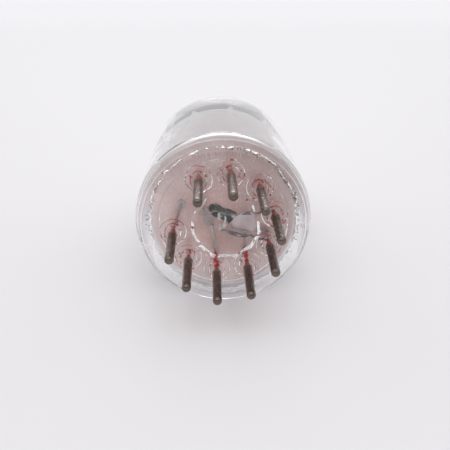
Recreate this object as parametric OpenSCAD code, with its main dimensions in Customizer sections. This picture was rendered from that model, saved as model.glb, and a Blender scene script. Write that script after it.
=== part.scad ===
// Nine-pin miniature vacuum tube (noval base, short bulb of 20.6 mm), lying on its side.
// Origin: centre of the pin circle on the flat face of the glass stem.
// -Y runs out along the pins, +Y along the bulb to its tip, +Z is up.
// Every sub-part is drawn upright, with the pins down and the bulb's axis on +Z,
// and lie_down() then turns it so that +Z becomes +Y.

/* [Bulb] */
// Outside diameter of the bulb
bulb_d = 20.6; // [20:0.1:22]
// Thickness of the bulb's glass
bulb_wall = 0.8; // [0.6:0.05:1]
// Height above the seat where the straight wall ends
shoulder_z = 25.3; // [24.5:0.1:27]
// Radius of the bulb's rounded shoulder
shoulder_r = 4.5; // [4:0.1:5]
// How far in the glass edge at the base curves
corner_r = 2.0; // [1.6:0.1:2.2]
// Height over which the glass edge at the base curves in
corner_h = 3.2; // [2.8:0.1:3.4]
// Height of the sealed exhaust tip above the dome
tip_h = 4.3; // [3.5:0.1:5]

/* [Stem] */
// Thickness of the pressed glass stem
stem_t = 2.0; // [1.9:0.1:2.1]
// Height of the glass boss round each pin, outside
outer_boss_h = 0.25; // [0.2:0.05:0.5]
// Height of the glass boss round each lead, inside
inner_boss_h = 0.7; // [0.5:0.05:0.7]

/* [Pins] */
// Diameter of the circle that the pins stand on
pin_circle_d = 11.9; // [11.8:0.05:12]
// Diameter of a pin
pin_d = 1.016; // [1:0.004:1.04]
// Length of a pin below the seat
pin_len = 6.9; // [6.4:0.1:7.1]
// Angle of pin 1, anticlockwise from +X, with the base seen from the front
pin_1_angle = 118; // [110:1:125]
// Diameter of the copper-clad wire sealed in the glass
seal_wire_d = 0.45; // [0.4:0.05:0.5]
// Diameter of the nickel leads inside the bulb
lead_d = 0.3; // [0.25:0.05:0.4]

/* [Electrodes] */
// Turn of the electrodes about the tube's axis, with the base seen from the front
electrode_angle = -20; // [-24:1:-16]
// Height of the lower mica's underside above the seat
lower_mica_z = 3.95; // [3.95:0.05:4.2]
// Height of the upper mica's underside above the seat
upper_mica_z = 19.2; // [19:0.1:20]
// Thickness of the micas
mica_t = 0.3; // [0.2:0.05:0.3]
// Number of teeth round each mica
mica_teeth = 12; // [10:1:14]
// Diameter of the grid's two side rods
grid_rod_d = 1.3; // [1.2:0.05:1.4]
// Number of turns in the grid's winding
grid_turns = 28; // [15:1:30]
// Height of the anode
anode_h = 12; // [9:0.5:12]
// Diameter of the getter ring, at the middle of its channel
getter_d = 5.6; // [5:0.1:6]

/* [Hidden] */
$fn = 64;
pin_count = 9;
pin_pitch = 36;               // the circle has ten places, and one is left out
arc_steps = 8;
bulb_r = bulb_d / 2;
pin_r = pin_circle_d / 2;

// The seam where the bulb's skirt is fused to the stem, in the plane of the outline.
seam_angle = -45;

// A fillet inside the seam runs from the stem's face up to the wall.
fillet_r = 1.85;
fillet_centre = [bulb_r - bulb_wall - fillet_r, stem_t + fillet_r];
seam_high = fillet_centre + fillet_r * [cos(seam_angle), sin(seam_angle)];

// The middle of the stem's inner face is pressed a little deeper than the ring of bosses.
dish_r = 3.6;
dish_slope = 0.4;
dish_depth = 0.4;

// The shoulder turns through shoulder_turn degrees and then meets one large dome arc.
shoulder_turn = 60;
shoulder_centre = [bulb_r - shoulder_r, shoulder_z];
dome_r = shoulder_r + shoulder_centre.x / cos(shoulder_turn);
dome_z = shoulder_z - shoulder_centre.x * tan(shoulder_turn);
dome_end = 80;                // where the dome arc gives way to the exhaust tip
dome_top = dome_z + dome_r;
film_t = 0.06;

// Pins, seal wires and leads
pin_neck_r = 0.35;            // the pin is thinner where it stands in the glass
pin_top_z = 0.8;
outer_boss_r = 1.1;
inner_boss_r = 1.6;
inner_boss_top_r = 1.35;
lead_bend = 0.3;
weld_gap = 0.01;

// How far each seal wire runs on level after its bend, one value a pin. A wire with no
// run ends at seal_top_z, in the boss, and its lead makes the bend.
seal_top_z = 2.6;
seal_run = [0, 0, 0, 0, 0, 1.6, 1.6, 0, 0];

// Cathode, grid and anode, across the electrodes' long axis (x) and short axis (y)
cathode_size = [3.0, 0.9];
cathode_wall = 0.08;
cathode_z = [lower_mica_z, 20.1];
coating_t = 0.05;
coating_z = [6.6, 17];
heater_d = 0.24;
heater_gap = 0.32;            // each strand's distance from the axis
grid_x = 2.6;
grid_rod_top = 20.4;
grid_tab = [2.8, 1.9, 0.12];  // flat plate under the right rod's foot
grid_tab_at = [2.45, -0.65];
grid_wire = 0.07;
winding_z = [6.2, 17.2];
strap_size = [6, 0.12, 0.6];
anode_x = 5.2;
anode_rod_d = 0.9;
anode_rod_top = 20.5;
anode_t = 0.25;
anode_z = 5.8;
anode_half = [3.5, 2.35];     // half the width and half the depth of its flat faces
anode_flange_x = 6.4;
mica_r = 9.0;
tooth_r = bulb_r - bulb_wall - 0.08;
tooth_w = 1.5;
hole_gap = 0.02;
window = [3.8, 1.3];          // opening beside the cathode in the lower mica and the shield
window_at = [0.03, 0.55];
window_angle = -25;
shield_r = 8.6;
shield_t = 0.15;
shield_z = lower_mica_z + mica_t + 0.05;
getter_z = 23.2;
getter_channel = [1.1, 0.55];
getter_sheet = 0.12;
getter_wire_d = 0.5;
tab_t = 0.12;
tab_z = cathode_z[0] - tab_t;
tab_eye = [-1.74, -0.34];
tab_eye_r = 0.72;
clip = [0.3, 0.9, 0.3];       // clips that join the heater to its leads
clip_at = [[-0.5, 0.55], [-0.4, -0.75]];

// Heights at which the leads run level, and where each one goes, seen from the front.
// A lead with no end point runs straight up to the lower mica.
low_level = 3.05;
high_level = 3.6;
foot_z = high_level + lead_d / 2 + weld_gap;
level_z = [high_level, 0, 0, low_level, low_level, high_level, 3.5, 0, high_level];
lead_ends = [
    grid_rod_at(-1),
    undef,
    undef,
    [-0.5, 0.5],
    [-0.4, -1.3],
    toward(grid_rod_at(1), pin_at(6), 0.7),
    [-1.35, -0.85],
    undef,
    anode_rod_at(-1)
];

PIN_NUMBERS = [1 : pin_count];

// ---- Geometry helpers -------------------------------------------------------------

// Points of the quarter ellipse at the edge of the base.
function corner(from, to, steps = arc_steps) = [for (p = arc([0, 0], 1, from, to, steps))
    [bulb_r - corner_r + corner_r * p.x, corner_h + corner_h * p.y]];

// Points of an arc about centre c, from one angle to another.
function arc(c, r, from, to, steps = arc_steps) =
    [for (i = [0 : steps]) let (a = from + (to - from) * i / steps) c + r * [cos(a), sin(a)]];

// Points of a cubic curve with four control points, without its first point.
function curve(p, steps = arc_steps) =
    [for (i = [1 : steps]) let (t = i / steps, u = 1 - t)
        u * u * u * p[0] + 3 * u * u * t * p[1] + 3 * u * t * t * p[2] + t * t * t * p[3]];

function reversed(list) = [for (i = [len(list) - 1 : -1 : 0]) list[i]];
function unit(v) = v / norm(v);

// Outline of a slot with round ends, w wide and h high.
function slot_outline(w, h) = concat(
    arc([(w - h) / 2, 0], h / 2, -90, 90),
    arc([-(w - h) / 2, 0], h / 2, 90, 270));

// Places on the base as it is seen from the front, x to the right and y up.
function pin_angle(k) = pin_1_angle - pin_pitch * (k - 1);
function pin_at(k) = pin_r * [cos(pin_angle(k)), sin(pin_angle(k))];
function along(x, y = 0) = [
    x * cos(electrode_angle) - y * sin(electrode_angle),
    x * sin(electrode_angle) + y * cos(electrode_angle)];
function grid_rod_at(side) = along(side * grid_x);
function anode_rod_at(side) = along(side * anode_x);
function toward(from, to, distance) = from + distance * unit(to - from);

// The same place on the upright part, whose y runs the other way.
function upright(p, z) = [p.x, -p.y, z];

module lie_down() { rotate([-90, 0, 0]) children(); }
module at_place(p) { translate(upright(p, 0)) children(); }
module along_electrodes() { rotate([0, 0, -electrode_angle]) children(); }
module rod(d, z) { translate([0, 0, z[0]]) cylinder(d = d, h = z[1] - z[0]); }

// A wire whose points lie in one plane, with that plane's normal.
module flat_wire(points, normal, d, sides = 10) {
    wire(points, [for (p = points) normal], d, sides);
}

// A round wire swept along points, with a vector across the wire at each point.
module wire(points, across, d, sides = 10) {
    last = len(points) - 1;
    rings = [for (i = [0 : last])
        let (along = unit(points[min(i + 1, last)] - points[max(i - 1, 0)]),
             side = unit(across[i] - (across[i] * along) * along),
             up = cross(along, side))
        [for (j = [0 : sides - 1]) let (a = 360 * j / sides)
            points[i] + d / 2 * (cos(a) * side + sin(a) * up)]];
    walls = [for (i = [0 : last - 1]) for (j = [0 : sides - 1])
        let (k = (j + 1) % sides)
        [i * sides + j, (i + 1) * sides + j, (i + 1) * sides + k, i * sides + k]];
    ends = [[for (j = [0 : sides - 1]) j],
            [for (j = [sides - 1 : -1 : 0]) last * sides + j]];
    polyhedron([for (r = rings) each r], concat(walls, ends), convexity = 4);
}

// ---- Glass ------------------------------------------------------------------------

function bulb_outside() = let (
        dome_edge = [dome_r * cos(dome_end), dome_z + dome_r * sin(dome_end)],
        neck = [1.2, dome_top + tip_h - 1.4])
    concat(
        corner(seam_angle, 0),
        arc(shoulder_centre, shoulder_r, 0, shoulder_turn),
        arc([0, dome_z], dome_r, shoulder_turn, dome_end, 4),
        curve([dome_edge, dome_edge + [-1.4, 0.25], neck + [0.3, -1.4], neck]),
        curve([neck, neck + [-0.2, 0.8], [0.6, dome_top + tip_h], [0, dome_top + tip_h]], 5));

// The inside wall from the given height up to the foot of the exhaust tip, t into the bulb.
function bulb_inside(z, t = 0) = concat(
    [[bulb_r - bulb_wall - t, z]],
    arc(shoulder_centre, shoulder_r - bulb_wall - t, 0, shoulder_turn),
    arc([0, dome_z], dome_r - bulb_wall - t, shoulder_turn, dome_end + 5, 4));

module bulb() {
    tip_hollow = [[0.45, dome_top + 0.6], [0, dome_top + 1.6]];
    color("lightcyan", 0.4) lie_down() rotate_extrude()
        polygon(concat(bulb_outside(),
                       reversed(concat(arc(fillet_centre, fillet_r, seam_angle, seam_angle / 4, 3),
                                       bulb_inside(stem_t + fillet_r), tip_hollow))));
}

module stem() {
    edge = corner(-90, seam_angle, 4);
    inner_face = [[dish_r + dish_slope, stem_t], [dish_r, stem_t - dish_depth],
                  [0, stem_t - dish_depth]];
    color("lightcyan", 0.4) lie_down() difference() {
        union() {
            rotate_extrude()
                polygon(concat([[0, 0]], edge,
                               arc(fillet_centre, fillet_r, seam_angle, -90, 4), inner_face));
            for (k = PIN_NUMBERS) at_place(pin_at(k)) {
                translate([0, 0, -outer_boss_h])
                    cylinder(r1 = pin_d / 2, r2 = outer_boss_r, h = outer_boss_h);
                translate([0, 0, stem_t])
                    cylinder(r1 = inner_boss_r, r2 = inner_boss_top_r, h = inner_boss_h);
            }
        }
        for (k = PIN_NUMBERS) at_place(pin_at(k)) {
            rod(2 * pin_neck_r, [-outer_boss_h - 1, pin_top_z]);
            rod(seal_wire_d, [0, seal_run[k - 1] > 0 ? stem_t + inner_boss_h + 1 : seal_top_z]);
            rod(lead_d, [seal_top_z, stem_t + inner_boss_h + 1]);
        }
    }
}

// ---- Pins and leads ---------------------------------------------------------------

module pin(k) {
    r = pin_d / 2;
    nose = arc([r - 0.45, -pin_len + 0.45], 0.45, 0, -90, 6);
    color("dimgray") lie_down() at_place(pin_at(k)) rotate_extrude()
        polygon(concat([[0, pin_top_z], [pin_neck_r, pin_top_z], [pin_neck_r, -outer_boss_h],
                        [r, -outer_boss_h]], nose, [[0, -pin_len]]));
}

// Level run of pin k's wire, as a vector across the upright part.
function level_run(k) = upright(lead_ends[k - 1] - pin_at(k), 0);

// Points of the bend above pin k, from upright to level.
function bend(k) = let (z = level_z[k - 1], across = unit(level_run(k)))
    [for (p = arc([lead_bend, z - lead_bend], lead_bend, 180, 90, 5))
        upright(pin_at(k), p.y) + p.x * across];

module level_wire(k, points, d) {
    flat_wire(points, cross([0, 0, 1], unit(level_run(k))), d);
}

module seal_wire(k) {
    foot = upright(pin_at(k), pin_top_z);
    run = seal_run[k - 1];
    color("firebrick") lie_down() {
        if (run > 0) {
            end = upright(pin_at(k), level_z[k - 1]) + run * unit(level_run(k));
            level_wire(k, concat([foot], bend(k), [end]), seal_wire_d);
        } else {
            at_place(pin_at(k)) rod(seal_wire_d, [pin_top_z, seal_top_z]);
        }
    }
}

module lead(k) {
    end = lead_ends[k - 1];
    run = seal_run[k - 1];
    color("gray") lie_down() {
        if (is_undef(end)) {
            at_place(pin_at(k)) rod(lead_d, [seal_top_z, lower_mica_z - weld_gap]);
        } else if (run > 0) {
            start = upright(pin_at(k), level_z[k - 1]) + run * unit(level_run(k));
            level_wire(k, [start, upright(end, level_z[k - 1])], lead_d);
        } else {
            foot = upright(pin_at(k), seal_top_z);
            level_wire(k, concat([foot], bend(k), [upright(end, level_z[k - 1])]), lead_d);
        }
    }
}

// ---- Micas and shield -------------------------------------------------------------

module mica_outline() {
    circle(mica_r);
    for (i = [0 : mica_teeth - 1]) rotate(-82 + 360 / mica_teeth * i)
        polygon([[mica_r - 0.3, -tooth_w / 2], [tooth_r, -0.12], [tooth_r, 0.12],
                 [mica_r - 0.3, tooth_w / 2]]);
}

// Holes for what stands through a mica, each wider than its rod by gap all round.
module rod_holes(gap) {
    along_electrodes() {
        polygon(slot_outline(cathode_size.x + 2 * gap, cathode_size.y + 2 * gap));
        for (side = [-1, 1]) {
            translate([side * grid_x, 0]) circle(grid_rod_d / 2 + gap);
            translate([side * anode_x, 0]) circle(anode_rod_d / 2 + gap);
        }
    }
}

module window_opening() {
    translate([window_at.x, -window_at.y]) rotate(-window_angle)
        polygon(slot_outline(window.x, window.y));
}

module lower_mica() {
    color("rosybrown") lie_down() translate([0, 0, lower_mica_z]) linear_extrude(mica_t)
        difference() {
            mica_outline();
            rod_holes(hole_gap);
            window_opening();
        }
}

module upper_mica() {
    color("rosybrown") lie_down() translate([0, 0, upper_mica_z]) linear_extrude(mica_t)
        difference() {
            mica_outline();
            rod_holes(hole_gap);
        }
}

module shield_disc() {
    color("silver") lie_down() translate([0, 0, shield_z]) linear_extrude(shield_t)
        difference() {
            circle(shield_r);
            rod_holes(0.25);
            window_opening();
        }
}

// ---- Heater and cathode -----------------------------------------------------------

// One hairpin: up from the first heater lead, over inside the sleeve, and down to the second.
module heater() {
    top = cathode_z[1] - 1;
    inside = cathode_z[0] + 1;
    low = level_z[3] + lead_d / 2 + heater_d / 2;
    legs = [for (side = [-1, 1]) upright(along(side * heater_gap), 0)];
    over = [for (a = [180 : -30 : 0])
        [0, 0, top] + heater_gap * cos(a) * unit(legs[1]) + [0, 0, heater_gap * sin(a)]];
    feet = [upright(lead_ends[3], low), upright(lead_ends[4] + [0.3, 0.1], low)];
    color("white") lie_down()
        flat_wire(concat([feet[0], legs[0] + [0, 0, inside - 1.25], legs[0] + [0, 0, inside]], over,
                         [legs[1] + [0, 0, inside], legs[1] + [0, 0, inside - 1.25], feet[1]]),
                  upright(along(0, 1), 0), heater_d, 8);
}

// Folded strip welded on the front of a heater lead.
module heater_clip(i) {
    color("white") lie_down()
        translate(upright(clip_at[i], low_level - lead_d / 2 - weld_gap - clip.z))
            translate([-clip.x / 2, -clip.y / 2, 0]) cube(clip);
}

module slot_tube(size, wall, z) {
    translate([0, 0, z[0]]) linear_extrude(z[1] - z[0]) difference() {
        polygon(slot_outline(size.x, size.y));
        polygon(slot_outline(size.x - 2 * wall, size.y - 2 * wall));
    }
}

module cathode_sleeve() {
    color("silver") lie_down() along_electrodes() slot_tube(cathode_size, cathode_wall, cathode_z);
}

module cathode_coating() {
    outside = cathode_size + 2 * coating_t * [1, 1];
    color("white") lie_down() along_electrodes() slot_tube(outside, coating_t, coating_z);
}

// Ribbon from the sleeve's side to a round eye, where the cathode's lead is welded.
module cathode_tab() {
    root = along(-0.8, -cathode_size.y / 2 + 0.04);
    run = tab_eye - root;
    width = 0.5;
    color("silver") lie_down() translate([0, 0, tab_z]) difference() {
        union() {
            translate(upright(tab_eye, 0)) cylinder(r = tab_eye_r, h = tab_t);
            translate(upright(root, 0)) rotate([0, 0, -atan2(run.y, run.x)])
                translate([0.15, -width / 2, 0]) cube([norm(run) - 0.4, width, tab_t]);
        }
        translate(upright(tab_eye, 0)) rod(0.5, [-1, 1]);
    }
}

// ---- Grid -------------------------------------------------------------------------

module grid_rod(side) {
    foot = side > 0 ? lower_mica_z - weld_gap : foot_z;
    color("peru") lie_down() at_place(grid_rod_at(side)) rod(grid_rod_d, [foot, grid_rod_top]);
}

module grid_tab() {
    color("silver") lie_down()
        translate(upright(grid_tab_at, lower_mica_z - 2 * weld_gap - grid_tab.z))
            translate([-grid_tab.x / 2, -grid_tab.y / 2, 0]) cube(grid_tab);
}

// Four ribbons that hold the two rods apart, above and below the winding.
module grid_straps() {
    y = grid_rod_d / 2 + weld_gap;
    low = winding_z[0] - strap_size.z - 0.2;
    high = winding_z[1] + 0.2;
    color("silver") lie_down() along_electrodes()
        for (z = [low, high]) for (side = [-1, 1])
            translate([-strap_size.x / 2, side * (y + strap_size.y / 2) - strap_size.y / 2, z])
                cube(strap_size);
}

// One fine wire wound up both rods, a flat-sided loop for each turn.
module grid_winding() {
    steps = 6;
    around = 2 * (steps + 1);
    turn_r = (grid_rod_d / 2 + grid_wire / 2 + 0.01) / cos(90 / steps);
    loop = concat(arc([grid_x, 0], turn_r, -90, 90, steps),
                  arc([-grid_x, 0], turn_r, 90, 270, steps));
    centre = function (i) [i % around > steps ? -grid_x : grid_x, 0];
    pitch = (winding_z[1] - winding_z[0]) / grid_turns;
    points = [for (i = [0 : around * grid_turns])
        let (p = loop[i % around]) [p.x, p.y, winding_z[0] + pitch * i / around]];
    across = [for (i = [0 : around * grid_turns])
        let (out = loop[i % around] - centre(i)) [out.x, out.y, 0]];
    color("goldenrod") lie_down() along_electrodes() wire(points, across, grid_wire, 4);
}

// ---- Anode ------------------------------------------------------------------------

// One pressed half: flat face, sloping sides, a half tube round each rod, and flanges.
module anode_half(side) {
    flat = 0.02;
    tube = anode_rod_d / 2 + 0.02;
    outside_turn = asin((flat + anode_t) / (tube + anode_t));
    inside_turn = asin(flat / tube);
    right_outside = concat(
        [[anode_flange_x, flat + anode_t]],
        arc([anode_x, 0], tube + anode_t, outside_turn, 180 - outside_turn),
        [[anode_half.x + 0.55, flat + anode_t], anode_half]);
    right_inside = concat(
        [[anode_flange_x, flat]],
        arc([anode_x, 0], tube, inside_turn, 180 - inside_turn),
        [[anode_half.x + 0.35, flat], anode_half - [0.2, anode_t]]);
    left = function (points) [for (p = reversed(points)) [-p.x, p.y]];
    outside = concat(right_outside, left(right_outside));
    inside = concat(right_inside, left(right_inside));
    color("dimgray") lie_down() along_electrodes() rotate([0, 0, side > 0 ? 0 : 180])
        translate([0, 0, anode_z]) linear_extrude(anode_h)
            polygon(concat(outside, reversed(inside)));
}

module anode_rod(side) {
    color("silver") lie_down() at_place(anode_rod_at(side))
        rod(anode_rod_d, [foot_z, anode_rod_top]);
}

// ---- Getter -----------------------------------------------------------------------

module getter_ring() {
    half = getter_channel.x / 2;
    color("gray") lie_down() translate([0, 0, getter_z]) rotate_extrude()
        translate([getter_d / 2, 0]) difference() {
            translate([-half, 0]) square(getter_channel);
            translate([-half + getter_sheet, getter_sheet])
                square(getter_channel - [2 * getter_sheet, 0]);
        }
}

// Wire from the top of an anode rod up beside the ring.
module getter_post() {
    foot = upright(anode_rod_at(-1), anode_rod_top + weld_gap);
    inward = -unit([foot.x, foot.y, 0]);
    top = getter_z + getter_channel.y / 2;
    run = norm([foot.x, foot.y, 0]) - getter_d / 2 - getter_channel.x / 2 - weld_gap;
    turn = [for (p = arc([lead_bend, top - lead_bend], lead_bend, 180, 90, 5))
        [foot.x, foot.y, 0] + p.x * inward + [0, 0, p.y]];
    color("silver") lie_down()
        flat_wire(concat([foot], turn, [[foot.x, foot.y, top] + run * inward]),
                  cross([0, 0, 1], inward), getter_wire_d);
}

// The silvery layer that the fired getter leaves on the glass above the upper mica.
module getter_film() {
    low = upper_mica_z + mica_t + 0.3;
    color("silver") lie_down() rotate_extrude()
        polygon(concat(bulb_inside(low), reversed(bulb_inside(low, film_t))));
}

// ---- Nodes ------------------------------------------------------------------------

bulb();
stem();
for (k = PIN_NUMBERS) {
    pin(k);
    seal_wire(k);
    lead(k);
}
lower_mica();
upper_mica();
shield_disc();
heater();
heater_clip(0);  // heater_clip_upper
heater_clip(1);  // heater_clip_lower
cathode_sleeve();
cathode_coating();
cathode_tab();
grid_rod(-1);  // grid_rod_left
grid_rod(1);  // grid_rod_right
grid_tab();
grid_straps();
grid_winding();
anode_half(1);  // anode_front
anode_half(-1);  // anode_rear
anode_rod(-1);  // anode_rod_left
anode_rod(1);  // anode_rod_right
getter_ring();
getter_post();
getter_film();
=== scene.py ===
"""A nine-pin miniature vacuum tube lying on its side, base towards the camera.

Metres, in the frame's own axes: the tube's axis is Y, the pins point along -Y and +Z is up.
Angles round the axis are anticlockwise from +X, with the base seen from the front.
"""
import math
import random

import bpy
import numpy as np
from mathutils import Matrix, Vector, geometry, noise


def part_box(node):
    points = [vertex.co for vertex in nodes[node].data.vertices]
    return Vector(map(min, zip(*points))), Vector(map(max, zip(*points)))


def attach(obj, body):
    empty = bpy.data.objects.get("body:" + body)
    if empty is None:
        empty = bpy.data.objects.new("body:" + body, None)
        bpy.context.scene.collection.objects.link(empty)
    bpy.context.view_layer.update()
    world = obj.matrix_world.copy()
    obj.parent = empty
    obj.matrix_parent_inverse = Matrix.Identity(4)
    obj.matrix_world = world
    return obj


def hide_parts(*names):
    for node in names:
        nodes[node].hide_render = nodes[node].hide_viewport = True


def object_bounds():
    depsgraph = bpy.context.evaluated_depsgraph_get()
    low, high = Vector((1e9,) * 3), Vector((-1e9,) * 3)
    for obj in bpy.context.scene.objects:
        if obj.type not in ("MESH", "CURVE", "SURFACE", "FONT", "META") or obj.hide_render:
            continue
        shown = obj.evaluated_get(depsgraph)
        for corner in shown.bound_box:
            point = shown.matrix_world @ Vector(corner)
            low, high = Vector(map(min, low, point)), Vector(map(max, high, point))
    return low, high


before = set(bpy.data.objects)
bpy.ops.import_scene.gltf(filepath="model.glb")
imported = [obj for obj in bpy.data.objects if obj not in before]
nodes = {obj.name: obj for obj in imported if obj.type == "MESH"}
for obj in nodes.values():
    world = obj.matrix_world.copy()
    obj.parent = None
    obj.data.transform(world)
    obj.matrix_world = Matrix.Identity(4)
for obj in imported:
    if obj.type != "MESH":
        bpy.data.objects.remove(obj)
CAD_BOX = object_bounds()

MM = 0.001

# ---- Driving sizes, in millimetres ---------------------------------------------------

BULB_R = (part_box("bulb")[1].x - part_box("bulb")[0].x) / 2 / MM
WALL = 0.8
CORNER_R, CORNER_H = 2.0, 3.2
SHOULDER_Y = 25.3
SHOULDER_R = 4.5
SHOULDER_TURN = 60
DOME_TURN = 80
TIP_H = 4.3
TIP_NECK_R, TIP_NECK_DROP = 1.2, 1.4
STEM_T = 2.0
SEAM_ANGLE = -45
FILLET_R = 1.85
INNER_FLAT_R = BULB_R - WALL - FILLET_R
RIDGE_R = INNER_FLAT_R - 0.15
SEAL_R = BULB_R - WALL - 1.15
DISH_R, DISH_SLOPE, DISH_DEPTH = 3.6, 0.5, 0.4
DISH_AT = (0.25, -0.3)
SEAL_LINES = (0.55, 1.25)

PIN_COUNT = 9
PIN_PITCH = 36
PIN_1_ANGLE = 118
PIN_CIRCLE_R = 5.95
PIN_R = 0.508
PIN_END = -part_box("pin_1")[0].y / MM
PIN_NOSE_R = 0.42
PIN_ROOT_Y = 0.8
OUTER_BOSS_H = 0.25
INNER_BOSS_H = 0.7
INNER_BOSS_R = 1.6
SEAL_WIRE_R = 0.225
SEAL_RUN = 1.6
LEAD_BEND = 0.3
ELECTRODE_ANGLE = -20
GRID_ROD_X = 2.6
FILM_Y = 19.8

# Points round the glass, and steps along the curves that it shares with the getter film.
SEGMENTS = 432
SHOULDER_STEPS, DOME_STEPS = 14, 8


def pin_angle(k):
    return PIN_1_ANGLE - PIN_PITCH * (k - 1)


def place(r, angle, y):
    """A point r mm from the axis, at an angle in degrees, y mm along it."""
    a = math.radians(angle)
    return Vector((r * math.cos(a), y, r * math.sin(a))) * MM


def wobble(x, y, z, scale, seed=0.0):
    """Smooth noise from -1 to 1 at a point in mm, with lumps of about scale mm."""
    return noise.noise(Vector((x, y, z)) / scale + Vector((seed, 2.7 * seed, -seed)))


def smooth(t):
    """0 to 1 in an S as t goes from 0 to 1."""
    t = min(1.0, max(0.0, t))
    return t * t * (3 - 2 * t)


def bell(gap, width):
    """1 where gap is 0, and next to nothing once it is twice the width."""
    return math.exp(-(gap / width) ** 2)


# ---- Materials -----------------------------------------------------------------------


class Nodes:
    """A short way to wire up one material's nodes."""

    def __init__(self, name):
        self.mat = bpy.data.materials.new(name)
        self.mat.use_nodes = True
        self.tree = self.mat.node_tree
        self.tree.nodes.clear()
        self.out = self.add("ShaderNodeOutputMaterial")

    def add(self, kind, **values):
        node = self.tree.nodes.new(kind)
        for key, value in values.items():
            if hasattr(node, key):
                setattr(node, key, value)
            else:
                node.inputs[key.replace("_", " ")].default_value = value
        return node

    def link(self, source, target):
        self.tree.links.new(source, target)

    def position(self):
        return self.add("ShaderNodeTexCoord").outputs["Object"]

    def noise(self, size_mm, detail=4.0, roughness=0.55, stretch=(1, 1, 1)):
        """Noise whose lumps are about size_mm across, longer along an axis with a stretch."""
        mapping = self.add("ShaderNodeMapping")
        mapping.inputs["Scale"].default_value = [1 / (size_mm * MM * s) for s in stretch]
        self.link(self.position(), mapping.inputs["Vector"])
        tex = self.add("ShaderNodeTexNoise", Scale=1.0, Detail=detail, Roughness=roughness)
        self.link(mapping.outputs[0], tex.inputs["Vector"])
        return tex.outputs["Fac"]

    def ramp(self, source, stops):
        """A colour ramp from (place, colour) pairs."""
        ramp = self.add("ShaderNodeValToRGB")
        elements = ramp.color_ramp.elements
        while len(elements) < len(stops):
            elements.new(0.5)
        for element, (at, colour) in zip(elements, stops):
            element.position = at
            element.color = (*colour, 1)
        self.link(source, ramp.inputs[0])
        return ramp.outputs["Color"]

    def span(self, source, low, high, from_low=0.3, from_high=0.7):
        """source stretched so that from_low..from_high becomes low..high."""
        node = self.add("ShaderNodeMapRange")
        for name, value in (("From Min", from_low), ("From Max", from_high),
                            ("To Min", low), ("To Max", high)):
            node.inputs[name].default_value = value
        self.link(source, node.inputs["Value"])
        return node.outputs[0]

    def mix(self, factor, a, b):
        """Colour a where factor is 0, and b where it is 1."""
        node = self.add("ShaderNodeMix", data_type="RGBA")
        for source, target in ((factor, "Factor"), (a, 6), (b, 7)):
            self.link(source, node.inputs[target])
        return node.outputs[2]

    def math(self, operation, a, b=None):
        node = self.add("ShaderNodeMath", operation=operation)
        for socket, value in zip(node.inputs, (a, b)):
            if value is None:
                continue
            if isinstance(value, (int, float)):
                socket.default_value = value
            else:
                self.link(value, socket)
        return node.outputs[0]

    def bump(self, height, depth_mm, strength=1.0):
        node = self.add("ShaderNodeBump", Strength=strength)
        node.inputs["Distance"].default_value = depth_mm * MM
        self.link(height, node.inputs["Height"])
        return node.outputs[0]


def grey_mix(a, b):
    """Two colour stops from dark to light for a noise in the middle of its range."""
    return [(0.3, a), (0.7, b)]


def metal(name, dark, light, grain_mm, rough, stretch=(1, 1, 1), depth_mm=0.004, metallic=1.0):
    """Sheet or wire metal with patches of tarnish and a fine grain along the stretch."""
    m = Nodes(name)
    bsdf = m.add("ShaderNodeBsdfPrincipled", Metallic=metallic)
    patches = m.noise(grain_mm * 6, 5.0)
    m.link(m.ramp(patches, grey_mix(dark, light)), bsdf.inputs["Base Color"])
    grain = m.noise(grain_mm, 3.0, stretch=stretch)
    m.link(m.span(grain, *rough), bsdf.inputs["Roughness"])
    m.link(m.bump(grain, depth_mm), bsdf.inputs["Normal"])
    m.link(bsdf.outputs[0], m.out.inputs[0])
    return m.mat


def matt(name, dark, light, grain_mm):
    """A dry coat, such as an oxide or a ceramic."""
    return metal(name, dark, light, grain_mm, (0.7, 0.9), depth_mm=0.01, metallic=0.0)


def glass_material():
    """Clear glass that lets lamps through, so that what is inside it is lit."""
    m = Nodes("clear_glass")
    bsdf = m.add("ShaderNodeBsdfPrincipled", IOR=1.5, Roughness=0.0)
    bsdf.inputs["Transmission Weight"].default_value = 1.0
    bsdf.inputs["Base Color"].default_value = (0.985, 0.985, 0.99, 1)
    ripple = m.noise(2.5, 2.0, stretch=(1, 3, 1))
    m.link(m.bump(ripple, 0.02, 0.35), bsdf.inputs["Normal"])
    through = m.add("ShaderNodeBsdfTransparent", Color=(0.97, 0.97, 0.975, 1))
    rays = m.add("ShaderNodeLightPath")
    inner, outer = m.add("ShaderNodeMixShader"), m.add("ShaderNodeMixShader")
    m.link(rays.outputs["Is Diffuse Ray"], inner.inputs[0])
    m.link(bsdf.outputs[0], inner.inputs[1])
    m.link(through.outputs[0], inner.inputs[2])
    m.link(rays.outputs["Is Shadow Ray"], outer.inputs[0])
    m.link(inner.outputs[0], outer.inputs[1])
    m.link(through.outputs[0], outer.inputs[2])
    m.link(outer.outputs[0], m.out.inputs[0])
    return m.mat


def seam_material():
    """Where bulb and stem are fused the glass is one, so the face between them can't be seen."""
    m = Nodes("fused_seam")
    m.link(m.add("ShaderNodeBsdfTransparent").outputs[0], m.out.inputs[0])
    return m.mat


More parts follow.
